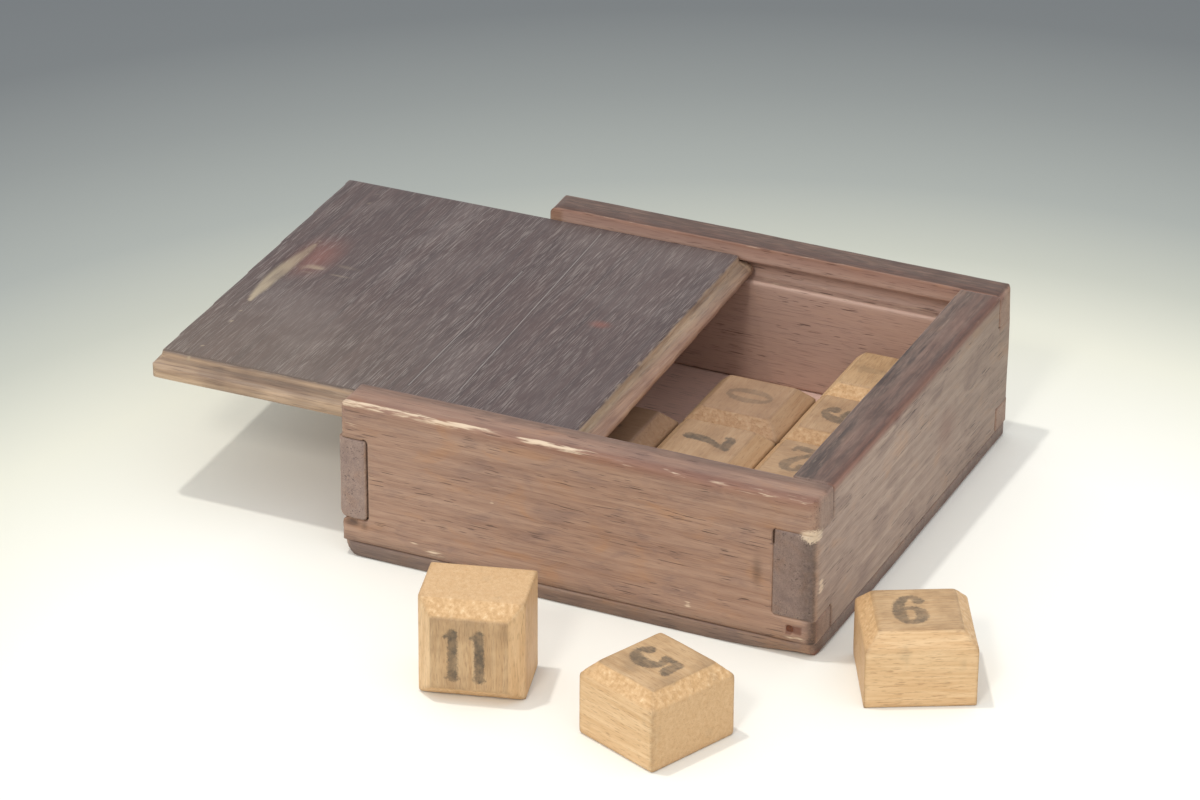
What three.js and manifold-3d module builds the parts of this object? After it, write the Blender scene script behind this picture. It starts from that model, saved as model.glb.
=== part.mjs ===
// A fifteen-block number puzzle in a sliding-lid wooden box.
//
// Five thin boards make the box: two side walls with a lid groove, two end walls whose centre
// tenons pass right through the side walls, and a bottom board nailed on from below. A rebated
// lid runs in the groove and is drawn part way out over the low end wall. Twelve of the fifteen
// numbered blocks lie in the tray and three stand loose on the table in front of it.
//
// Millimetres, +Z up. The origin is the centre of the box's underside. The lid opens towards -X.
import * as THREE from 'three';
import { mergeVertices } from 'three/addons/utils/BufferGeometryUtils.js';
import Module from 'manifold-3d';

const wasm = await Module();
wasm.setup();

// Box, outside
const BOX_LENGTH = 124.6;
const BOX_WIDTH = 127.9;
const BOX_HEIGHT = 42.2;

// Boards
const BOTTOM_T = 4;
const FRONT_T = 10.2;
const BACK_T = 8.6;
const FIXED_END_T = 10.8;
const OPEN_END_T = 7.6;
const JOINT_GAP = 0.3;

// Lid groove, cut in both side walls and in the fixed end wall
const GROOVE_LOW = 32.3;
const GROOVE_HIGH = 37.2;
const GROOVE_DEPTH = 4;

// Centre tenons of the end walls
const TENON_LOW = 10.5;
const FIXED_TENON_HIGH = 33;
const OPEN_TENON_HIGH = 32;

// Lid
const LID_PANEL_LENGTH = 111.4;
const LID_PANEL_T = 2.5;
const LID_TONGUE_T = 4.2;
const LID_SIDE_PLAY = 0.5;
const LID_FLOAT = 0.2;
const LID_SKEW = 3.4;
const LID_HEEL = 1.5;
const LID_NOSE_FRONT = -0.6;
const LID_NOSE_SKEW = 4.6;
const LID_NOSE_RUN = 4.1;
const LID_NOSE_DROP = 1.4;
const SCOOP_LENGTH = 37;
const SCOOP_WIDTH = 8;
const SCOOP_DEPTH = 1.5;
const SCOOP_INSET = 9;

// Blocks
const BLOCK = 25.6;
const BLOCK_SIDE_H = 14.8;
const BLOCK_H = 18.75;
const BLOCK_CHAMFER = 3.8;
const BLOCK_PLAY = 0.3;
const FRONT_SLACK = 2.6;

// Nails
const NAIL_SHANK = 1.4;
const NAIL_HEAD = 2.8;
const NAIL_HEAD_T = 0.8;
const NAIL_LENGTH = 16;

// Inner faces of the tray
const OUTER_X = BOX_LENGTH / 2;
const OUTER_Y = BOX_WIDTH / 2;
const INNER_FRONT = -OUTER_Y + FRONT_T;
const INNER_BACK = OUTER_Y - BACK_T;
const INNER_FIXED = OUTER_X - FIXED_END_T;
const INNER_OPEN = -OUTER_X + OPEN_END_T;
const WALL_FOOT = BOTTOM_T + JOINT_GAP;
const CUT_PAST = 5;

const WOOD = {
  front: { color: 0x8f6a4c, roughness: 0.55 },
  back: { color: 0x7d5a44, roughness: 0.6 },
  fixedEnd: { color: 0x6f5747, roughness: 0.6 },
  openEnd: { color: 0x75594a, roughness: 0.65 },
  bottom: { color: 0x4e3a30, roughness: 0.75 },
  lid: { color: 0x564a47, roughness: 0.6 },
  block: { color: 0xc39b66, roughness: 0.6 },
};
const IRON = { color: 0x2b2624, roughness: 0.7, metalness: 0.8 };

const puzzle = new THREE.Group();

// A closed solid of a geometry, with its shared corners merged
function solidOf(geometry) {
  const bare = geometry.clone();
  bare.deleteAttribute('normal');
  bare.deleteAttribute('uv');
  const merged = mergeVertices(bare, 1e-4);
  return new wasm.Manifold(new wasm.Mesh({
    numProp: 3,
    vertProperties: new Float32Array(merged.attributes.position.array),
    triVerts: new Uint32Array(merged.index.array),
  }));
}

function geometryOf(solid) {
  const mesh = solid.getMesh();
  const geometry = new THREE.BufferGeometry();
  geometry.setAttribute('position', new THREE.BufferAttribute(mesh.vertProperties, 3));
  geometry.setIndex(new THREE.BufferAttribute(mesh.triVerts, 1));
  geometry.computeVertexNormals();
  return geometry;
}

// A box between two opposite corners
function boxBetween(low, high) {
  const size = high.map((value, axis) => value - low[axis]);
  const geometry = new THREE.BoxGeometry(...size);
  geometry.translate(...high.map((value, axis) => (value + low[axis]) / 2));
  return solidOf(geometry);
}

// An upright prism over an outline of [x, y] corners
function prism(outline, low, high) {
  const shape = new THREE.Shape(outline.map(([x, y]) => new THREE.Vector2(x, y)));
  const geometry = new THREE.ExtrudeGeometry(shape, { depth: high - low, bevelEnabled: false });
  geometry.translate(0, 0, low);
  return solidOf(geometry);
}

function addPiece(name, geometry, look, place = {}) {
  const piece = new THREE.Mesh(geometry, new THREE.MeshStandardMaterial(look));
  piece.name = name;
  piece.position.set(...(place.at ?? [0, 0, 0]));
  piece.rotation.set(...(place.turned ?? [0, 0, 0]));
  puzzle.add(piece);
}

// The space of the lid groove, taken out of a wall that it crosses
function grooveCut() {
  const low = [-OUTER_X - CUT_PAST, INNER_FRONT - GROOVE_DEPTH, GROOVE_LOW];
  const high = [INNER_FIXED + GROOVE_DEPTH, INNER_BACK + GROOVE_DEPTH, GROOVE_HIGH];
  return boxBetween(low, high);
}

// The two slots that an end wall's tenons fill, open at the box's ends
function tenonSlots() {
  const reach = OUTER_Y + CUT_PAST;
  const fixed = boxBetween(
    [INNER_FIXED - JOINT_GAP, -reach, TENON_LOW - JOINT_GAP],
    [OUTER_X + CUT_PAST, reach, FIXED_TENON_HIGH + JOINT_GAP],
  );
  const open = boxBetween(
    [-OUTER_X - CUT_PAST, -reach, TENON_LOW - JOINT_GAP],
    [INNER_OPEN + JOINT_GAP, reach, OPEN_TENON_HIGH + JOINT_GAP],
  );
  return fixed.add(open);
}

// A side wall runs the whole length: its fingers lie above and below each tenon
function sideWall(yLow, yHigh) {
  const board = boxBetween([-OUTER_X, yLow, WALL_FOOT], [OUTER_X, yHigh, BOX_HEIGHT]);
  return board.subtract(grooveCut()).subtract(tenonSlots()).subtract(cornerNailHoles());
}

// An end wall stands between the side walls, with one tenon through each of them
function endWall(xLow, xHigh, tenonHigh, wallHigh) {
  const body = boxBetween(
    [xLow, INNER_FRONT + JOINT_GAP, WALL_FOOT],
    [xHigh, INNER_BACK - JOINT_GAP, wallHigh],
  );
  const tenon = boxBetween([xLow, -OUTER_Y, TENON_LOW], [xHigh, OUTER_Y, tenonHigh]);
  return body.add(tenon).subtract(grooveCut()).subtract(cornerNailHoles());
}

function bottomBoard() {
  const board = boxBetween([-OUTER_X, -OUTER_Y, 0], [OUTER_X, OUTER_Y, BOTTOM_T]);
  return board.subtract(bottomNailHoles());
}

// A cut nail along +Z, head down, with its head's face at z = 0 and a square tapered shank
function nailGeometry(clearance) {
  const head = (NAIL_HEAD / 2 + clearance) * Math.SQRT2;
  const shank = (NAIL_SHANK / 2 + clearance) * Math.SQRT2;
  const profile = [
    new THREE.Vector2(0, -clearance),
    new THREE.Vector2(head, -clearance),
    new THREE.Vector2(head, NAIL_HEAD_T + clearance),
    new THREE.Vector2(shank, NAIL_HEAD_T + clearance),
    new THREE.Vector2(shank * 0.6, NAIL_LENGTH + clearance),
    new THREE.Vector2(0, NAIL_LENGTH + clearance),
  ];
  const geometry = new THREE.LatheGeometry(profile, 4, Math.PI / 4);
  geometry.rotateX(Math.PI / 2);
  return geometry;
}

// Nails through the bottom board: two up into each wall, midway in its thickness
const bottomNails = [];
for (const share of [-0.55, 0.55]) {
  bottomNails.push([share * OUTER_X, -OUTER_Y + FRONT_T / 2, JOINT_GAP]);
  bottomNails.push([share * OUTER_X, OUTER_Y - BACK_T / 2, JOINT_GAP]);
  bottomNails.push([OUTER_X - FIXED_END_T / 2, share * INNER_BACK, JOINT_GAP]);
  bottomNails.push([-OUTER_X + OPEN_END_T / 2, share * INNER_BACK, JOINT_GAP]);
}

// Nails through the lower fingers of the side walls into the fixed end wall's shoulders
const CORNER_NAIL_Z = 7.4;
const CORNER_NAIL_X = OUTER_X - FIXED_END_T * 0.6;
const CORNER_NAIL_INSET = 0.4;
const cornerNails = [
  { at: [CORNER_NAIL_X, -OUTER_Y + CORNER_NAIL_INSET, CORNER_NAIL_Z], turned: [-Math.PI / 2, 0, 0] },
  { at: [CORNER_NAIL_X, OUTER_Y - CORNER_NAIL_INSET, CORNER_NAIL_Z], turned: [Math.PI / 2, 0, 0] },
];

function holeAlong(place) {
  const hole = nailGeometry(JOINT_GAP / 2);
  hole.applyMatrix4(new THREE.Matrix4().makeRotationFromEuler(new THREE.Euler(...place.turned)));
  hole.translate(...place.at);
  return solidOf(hole);
}

function bottomNailHoles() {
  return bottomNails.map((at) => holeAlong({ at, turned: [0, 0, 0] })).reduce((all, one) => all.add(one));
}

function cornerNailHoles() {
  return cornerNails.map(holeAlong).reduce((all, one) => all.add(one));
}

// The lid: a raised panel between the side walls, on a wider tongue that runs in the groove. Its
// ends are cut a little out of square, and the leading end is bevelled down to a thin nose.
function lid() {
  const tongueLow = GROOVE_LOW + LID_FLOAT;
  const tongueHigh = tongueLow + LID_TONGUE_T;
  const panelHigh = tongueHigh + LID_PANEL_T;
  const panelFront = INNER_FRONT + LID_SIDE_PLAY;
  const panelBack = INNER_BACK - LID_SIDE_PLAY;
  const panelEnd = LID_NOSE_FRONT - LID_NOSE_RUN;
  const panel = prism([
    [panelEnd - LID_PANEL_LENGTH, panelFront],
    [panelEnd, panelFront],
    [panelEnd - LID_SKEW, panelBack],
    [panelEnd - LID_PANEL_LENGTH - LID_SKEW, panelBack],
  ], tongueHigh - CUT_PAST / 10, panelHigh);
  const tongueFront = panelFront - GROOVE_DEPTH + LID_SIDE_PLAY / 2;
  const tongueBack = panelBack + GROOVE_DEPTH - LID_SIDE_PLAY / 2;
  const heel = panelEnd - LID_PANEL_LENGTH - LID_HEEL;
  const tongue = prism([
    [heel, tongueFront],
    [LID_NOSE_FRONT, tongueFront],
    [LID_NOSE_FRONT - LID_NOSE_SKEW, tongueBack],
    [heel - LID_SKEW, tongueBack],
  ], tongueLow, tongueHigh);
  return panel.add(tongue).subtract(noseBevel(tongueHigh)).subtract(fingerScoop(heel, panelHigh));
}

// A wedge that slopes the tongue's leading end down, from the end of the panel to the nose
function noseBevel(tongueHigh) {
  const wedge = new THREE.Shape([
    new THREE.Vector2(-LID_NOSE_RUN, 0),
    new THREE.Vector2(CUT_PAST, -LID_NOSE_DROP * (1 + CUT_PAST / LID_NOSE_RUN)),
    new THREE.Vector2(CUT_PAST, CUT_PAST / 10),
    new THREE.Vector2(-LID_NOSE_RUN, CUT_PAST / 10),
  ]);
  const reach = BOX_WIDTH * 2;
  const geometry = new THREE.ExtrudeGeometry(wedge, { depth: reach, bevelEnabled: false });
  geometry.rotateX(Math.PI / 2);
  geometry.translate(0, reach / 2, 0);
  geometry.rotateZ(Math.atan(LID_NOSE_SKEW / BOX_WIDTH));
  geometry.translate(LID_NOSE_FRONT - LID_NOSE_SKEW / 2, 0, tongueHigh);
  return solidOf(geometry);
}

// A shallow leaf-shaped hollow for a finger, near the trailing end
function fingerScoop(heel, panelHigh) {
  const ball = new THREE.SphereGeometry(1, 24, 12);
  const sink = 0.4;
  ball.scale(SCOOP_WIDTH / 2 / sink, SCOOP_LENGTH / 2 / sink, SCOOP_DEPTH / (1 - Math.sqrt(1 - sink * sink)));
  const deep = SCOOP_DEPTH / (1 - Math.sqrt(1 - sink * sink));
  ball.translate(heel + SCOOP_INSET, 0, panelHigh + deep - SCOOP_DEPTH);
  return solidOf(ball);
}

// A block is a square prism whose numbered face stands proud on four wide chamfers. They were sawn
// by hand, so a block can have its own cut.
const TRAY_CUT = { width: BLOCK, depth: BLOCK, sideHeight: BLOCK_SIDE_H, height: BLOCK_H, chamfer: BLOCK_CHAMFER };

function blockGeometry({ width, depth, sideHeight, height, chamfer } = TRAY_CUT) {
  const toCorner = Math.SQRT2 / 2;
  const profile = [
    new THREE.Vector2(0, 0),
    new THREE.Vector2(width * toCorner, 0),
    new THREE.Vector2(width * toCorner, sideHeight),
    new THREE.Vector2((width - 2 * chamfer) * toCorner, height),
    new THREE.Vector2(0, height),
  ];
  const geometry = new THREE.LatheGeometry(profile, 4, Math.PI / 4);
  geometry.rotateX(Math.PI / 2);
  geometry.scale(1, depth / width, 1);
  return geometryOf(solidOf(geometry));
}

// The tray seen from above: one row of this list for each column from the open end to the fixed
// end, with its blocks from the front wall to the back. 0 is an empty place.
const TRAY = [
  [8, 13, 3, 0],
  [15, 4, 0, 0],
  [12, 7, 10, 0],
  [14, 2, 9, 1],
];

function placeTrayBlocks() {
  const pitch = BLOCK + BLOCK_PLAY;
  const lastColumn = INNER_FIXED - BLOCK_PLAY - BLOCK / 2;
  const firstRow = INNER_FRONT + FRONT_SLACK + BLOCK / 2;
  TRAY.forEach((column, c) => column.forEach((number, r) => {
    if (number === 0) return;
    const x = lastColumn - pitch * (TRAY.length - 1 - c);
    const y = firstRow + pitch * r;
    addPiece(`block_${number}`, blockGeometry(), WOOD.block, { at: [x, y, WALL_FOOT] });
  }));
}

// Three blocks stand on the table in front of the box, each turned its own way. Block 11 stands
// on one side, with its numbered face towards the front.
const CUT_5 = { width: 24.9, depth: 26.2, sideHeight: 15.7, height: 19.3, chamfer: 3.3 };
const CUT_6 = { width: 26.5, depth: 25.5, sideHeight: 15.1, height: 19, chamfer: 3.5 };
const CUT_11 = { width: 25.4, depth: 25.9, sideHeight: 16.1, height: 20.3, chamfer: 3.7 };
const degrees = THREE.MathUtils.degToRad;
function placeLooseBlocks() {
  addPiece('block_5', blockGeometry(CUT_5), WOOD.block, { at: [42.1, -108.75, 0], turned: [0, 0, degrees(-22.8)] });
  addPiece('block_6', blockGeometry(CUT_6), WOOD.block, { at: [86.6, -61.15, 0], turned: [0, 0, degrees(27.5)] });
  const onItsSide = new THREE.Euler(degrees(90), 0, degrees(15.2), 'ZXY');
  const block11 = blockGeometry(CUT_11);
  block11.translate(0, 0, -CUT_11.height);
  block11.applyMatrix4(new THREE.Matrix4().makeRotationFromEuler(onItsSide));
  addPiece('block_11', block11, WOOD.block, { at: [-2.2, -115.55, CUT_11.depth / 2] });
}

function placeNails() {
  bottomNails.forEach((at, i) => {
    addPiece(`bottom_nail_${i + 1}`, geometryOf(solidOf(nailGeometry(0))), IRON, { at });
  });
  cornerNails.forEach(({ at, turned }, i) => {
    addPiece(`corner_nail_${i + 1}`, geometryOf(solidOf(nailGeometry(0))), IRON, { at, turned });
  });
}

const nailed = (solid) => geometryOf(solid.subtract(bottomNailHoles()));
addPiece('bottom_board', geometryOf(bottomBoard()), WOOD.bottom);
addPiece('front_wall', nailed(sideWall(-OUTER_Y, INNER_FRONT)), WOOD.front);
addPiece('back_wall', nailed(sideWall(INNER_BACK, OUTER_Y)), WOOD.back);
addPiece('fixed_end_wall', nailed(endWall(INNER_FIXED, OUTER_X, FIXED_TENON_HIGH, BOX_HEIGHT)), WOOD.fixedEnd);
addPiece('open_end_wall', nailed(endWall(-OUTER_X, INNER_OPEN, OPEN_TENON_HIGH, OPEN_TENON_HIGH)), WOOD.openEnd);
addPiece('lid', geometryOf(lid()), WOOD.lid);
placeTrayBlocks();
placeLooseBlocks();
placeNails();

export default puzzle;
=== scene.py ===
"""A fifteen-block sliding number puzzle in its sliding-lid hardwood box.

Every wooden piece is worked up from its CAD solid: cut into a fine even mesh, its arrises worn round,
dented and chipped, and then finished with the wood it is made of. Lengths inside the working functions
are in millimetres in the piece's own frame; Blender gets metres.
"""

import math

import bpy
import numpy as np
from mathutils import Matrix, Vector


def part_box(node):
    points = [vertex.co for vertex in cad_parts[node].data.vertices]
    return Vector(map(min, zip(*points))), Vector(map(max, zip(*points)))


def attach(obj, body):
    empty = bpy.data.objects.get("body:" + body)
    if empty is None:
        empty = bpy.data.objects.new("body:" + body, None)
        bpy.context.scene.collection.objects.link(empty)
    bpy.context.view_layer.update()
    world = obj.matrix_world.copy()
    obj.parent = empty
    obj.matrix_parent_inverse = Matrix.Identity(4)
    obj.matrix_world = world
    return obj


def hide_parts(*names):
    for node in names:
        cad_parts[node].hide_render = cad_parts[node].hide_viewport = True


MM = 0.001
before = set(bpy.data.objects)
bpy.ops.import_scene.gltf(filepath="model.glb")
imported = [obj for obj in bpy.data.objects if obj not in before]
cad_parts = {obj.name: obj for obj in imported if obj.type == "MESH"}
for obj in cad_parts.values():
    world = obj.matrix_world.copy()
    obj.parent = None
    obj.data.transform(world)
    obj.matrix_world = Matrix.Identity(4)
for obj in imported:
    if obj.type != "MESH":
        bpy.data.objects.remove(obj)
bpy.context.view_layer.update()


# ---------------------------------------------------------------------------------------------------
# Working a piece of wood
# ---------------------------------------------------------------------------------------------------


def noise(points, size, seed):
    """Smooth noise from -1 to 1 with lumps about size mm across; size may be three numbers."""
    scaled = points / np.asarray(size, float) + seed * 17.31
    base = np.floor(scaled).astype(np.int64)
    part = scaled - base
    part = part * part * (3 - 2 * part)
    total = np.zeros(len(points))
    for corner in range(8):
        step = np.array([corner & 1, corner >> 1 & 1, corner >> 2 & 1])
        cell = base + step
        key = cell[:, 0] * 73856093 ^ cell[:, 1] * 19349663 ^ cell[:, 2] * 83492791 ^ (seed * 7919)
        key = (key ^ (key >> 13)) * 1274126177
        value = ((key ^ (key >> 16)) & 0xFFFF) / 32767.5 - 1
        total += value * np.prod(np.where(step == 1, part, 1 - part), axis=1)
    return total


def spot(points, centre, radius):
    """1 at the centre, falling smoothly to 0 at the radius; radius may be three numbers."""
    away = np.linalg.norm((points - np.asarray(centre, float)) / np.asarray(radius, float), axis=1)
    near = np.clip(1 - away, 0, 1)
    return near * near * (3 - 2 * near)


def ramp(values, start, end):
    """0 before start, 1 after end, with a smooth rise between."""
    share = np.clip((values - start) / (end - start), 0, 1)
    return share * share * (3 - 2 * share)


class Workpiece:
    """One piece of wood on the bench: a fine mesh of its CAD solid, held in the piece's own frame."""

    def __init__(self, node, grid, place=Matrix.Identity(4)):
        self.node = node
        self.place = place
        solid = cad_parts[node].data.copy()
        solid.transform(place.inverted())
        corners = np.array([v.co for v in solid.vertices]) / MM
        self.low = corners.min(0)
        self.high = corners.max(0)
        bench = bpy.data.objects.new("bench", solid)
        bpy.context.scene.collection.objects.link(bench)
        cut = bench.modifiers.new("even grid", "REMESH")
        cut.mode = "VOXEL"
        cut.voxel_size = grid * MM
        seen = bench.evaluated_get(bpy.context.evaluated_depsgraph_get())
        self.mesh = bpy.data.meshes.new_from_object(seen)
        bpy.data.objects.remove(bench)
        bpy.data.meshes.remove(solid)
        count = len(self.mesh.vertices)
        flat = np.zeros(count * 3, np.float32)
        self.mesh.vertices.foreach_get("co", flat)
        self.co = flat.reshape(-1, 3).astype(float) / MM
        pairs = np.zeros(len(self.mesh.edges) * 2, np.int32)
        self.mesh.edges.foreach_get("vertices", pairs)
        self.pairs = pairs.reshape(-1, 2)
        self.links = np.bincount(pairs, minlength=count)[:, None]
        self.refresh()

    def refresh(self):
        """Puts the worked vertices back in the mesh and reads the new normals."""
        self.mesh.vertices.foreach_set("co", (self.co * MM).astype(np.float32).ravel())
        self.mesh.update()
        flat = np.zeros(len(self.co) * 3, np.float32)
        self.mesh.vertex_normals.foreach_get("vector", flat)
        self.normal = flat.reshape(-1, 3).astype(float)

    def averaged(self, values):
        """Each vertex's mean of its neighbours."""
        one, two = self.pairs.T
        count = len(self.co)
        total = np.zeros((count, values.shape[1]))
        for axis in range(values.shape[1]):
            column = values[:, axis]
            total[:, axis] = np.bincount(one, column[two], count) + np.bincount(two, column[one], count)
        return total / self.links

    def ease(self, rounds, where=1.0):
        """Rubs the arrises down: more rounds give a rounder edge, and where says how much at each vertex."""
        share = np.broadcast_to(where, len(self.co))[:, None]
        for _ in range(rounds):
            self.co += share * (self.averaged(self.co) - self.co) * 0.9
        self.refresh()

    def round_over(self, first, second, radius):
        """Rounds the arris where two flat faces meet, each given as (axis, place, side)."""
        (a, place_a, side_a), (b, place_b, side_b) = first, second
        radius = np.maximum(np.broadcast_to(radius, len(self.co)), 0.01)
        in_a = radius - side_a * (place_a - self.co[:, a])
        in_b = radius - side_b * (place_b - self.co[:, b])
        reach = np.maximum(np.hypot(in_a, in_b), 1e-6)
        proud = (in_a > 0) & (in_b > 0) & (reach > radius) & (in_a < radius + 0.6) & (in_b < radius + 0.6)
        pull = 1 - radius / reach
        self.co[proud, a] -= (side_a * in_a * pull)[proud]
        self.co[proud, b] -= (side_b * in_b * pull)[proud]

    def exposure(self, rounds=6):
        """How far each vertex stands out: near 1 on an open arris, 0 on a flat, below 0 in a corner."""
        rubbed = self.co.copy()
        for _ in range(rounds):
            rubbed = self.averaged(rubbed)
        out = np.einsum("ij,ij->i", self.co - rubbed, self.normal)
        return out / max(np.percentile(np.abs(out), 99.5), 1e-9)

    def sink(self, depth, along=None):
        """Moves the surface in by depth mm at each vertex, along its normal or one given direction."""
        way = -self.normal if along is None else np.asarray(along, float)
        self.co += np.asarray(depth)[:, None] * way

    def paint(self, name, values):
        """Keeps a value at each vertex, which the materials read by its name."""
        kind = "FLOAT_VECTOR" if values.ndim == 2 else "FLOAT"
        field = "vector" if values.ndim == 2 else "value"
        made = self.mesh.attributes.new(name, kind, "POINT")
        made.data.foreach_set(field, values.astype(np.float32).ravel())

    def deliver(self, name, body, slot, material, slack=0.0):
        """Takes the piece off the bench: its CAD node is hidden, and it rides on its body."""
        self.co = np.clip(self.co, self.low - slack, self.high + slack)
        self.refresh()
        self.mesh.name = name
        self.mesh.materials.clear()
        self.mesh.materials.append(material)
        self.mesh.shade_smooth()
        piece = bpy.data.objects.new(name, self.mesh)
        bpy.context.scene.collection.objects.link(piece)
        piece.matrix_world = self.place
        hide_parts(self.node)
        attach(piece, body)


def depth_below(points, face):
    """How far each point lies under a flat face, given as (axis, place, side)."""
    axis, place, side = face
    return side * (place - points[:, axis])


def from_arris(points, first, second):
    """The distance in mm from each point to the arris where two faces meet."""
    return np.hypot(depth_below(points, first), depth_below(points, second))


def grain_coordinates(points, along, offset):
    """Millimetres along, across and through the grain, shifted so that no two pieces are cut alike."""
    order = {"x": (0, 1, 2), "y": (1, 0, 2), "z": (2, 0, 1)}[along]
    return points[:, order] + np.asarray(offset, float)


# ---------------------------------------------------------------------------------------------------
# Colour and node helpers
# ---------------------------------------------------------------------------------------------------

# Node settings that the finishes share.
SMOOTH = {"interpolation_type": "SMOOTHSTEP"}
TIMES = {"operation": "MULTIPLY"}
PLUS = {"operation": "ADD"}
LESS = {"operation": "SUBTRACT"}
UNSIGNED = {"operation": "ABSOLUTE"}
COLOURS = {"data_type": "RGBA"}


def tone(code):
    """An sRGB hex colour as the linear RGBA that the nodes take."""
    parts = [int(code[i : i + 2], 16) / 255 for i in (0, 2, 4)]
    linear = [p / 12.92 if p <= 0.04045 else ((p + 0.055) / 1.055) ** 2.4 for p in parts]
    return (*linear, 1.0)


def set_stops(node, stops):
    """Gives a colour ramp its stops in order, each a (place, sRGB hex) pair."""
    first, *middle, last = stops
    elements = node.color_ramp.elements
    for element, (place, code) in zip(elements, (first, last)):
        element.position = place
        element.color = tone(code)
    for place, code in middle:
        elements.new(place).color = tone(code)


def add(tree, kind, settings, inputs, out=None):
    """Adds one node. Its inputs are numbers, colours or other nodes' outputs, given by name or, in a
    list, in the order of its open sockets. Gives back the output named, or else the first open one."""
    node = tree.nodes.new("ShaderNode" + kind)
    for key, value in settings.items():
        if key == "stops":
            set_stops(node, value)
        else:
            setattr(node, key, value)
    if isinstance(inputs, dict):
        pairs = [(node.inputs[key], value) for key, value in inputs.items()]
    else:
        pairs = zip([s for s in node.inputs if s.enabled], inputs)
    for target, value in pairs:
        if isinstance(value, bpy.types.NodeSocket):
            tree.links.new(value, target)
        else:
            target.default_value = value
    outputs = [s for s in node.outputs if s.enabled and out in (None, s.name)]
    return outputs[0] if outputs else node


def fresh_material(name):
    """A new empty material and its tree."""
    material = bpy.data.materials.new(name)
    material.use_nodes = True
    material.node_tree.nodes.clear()
    return material, material.node_tree


def stretched(tree, grain, length, width, detail=2.0, distortion=0.0, shift=0.0):
    """Noise drawn out along the grain: streaks about length mm long and width mm wide."""
    scale = (1 / length, 1 / width, 1 / width)
    seat = add(tree, "Mapping", {}, {"Vector": grain, "Location": (shift,) * 3, "Scale": scale})
    look = {"Vector": seat, "Scale": 1.0, "Detail": detail, "Roughness": 0.55, "Distortion": distortion}
    return add(tree, "TexNoise", {}, look)


def finish(tree, colour, roughness, height, depth, specular):
    """The wood's shader at the end of its tree; depth is how deep the relief is cut, in mm."""
    bump = add(tree, "Bump", {}, {"Strength": 1.0, "Distance": depth * MM, "Height": height})
    look = {"Base Color": colour, "Roughness": roughness, "Normal": bump}
    shader = add(tree, "BsdfPrincipled", {}, {**look, "IOR": 1.5, "Specular IOR Level": specular})
    add(tree, "OutputMaterial", {}, {"Surface": shader})


# ---------------------------------------------------------------------------------------------------
# Finishes
# ---------------------------------------------------------------------------------------------------


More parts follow.
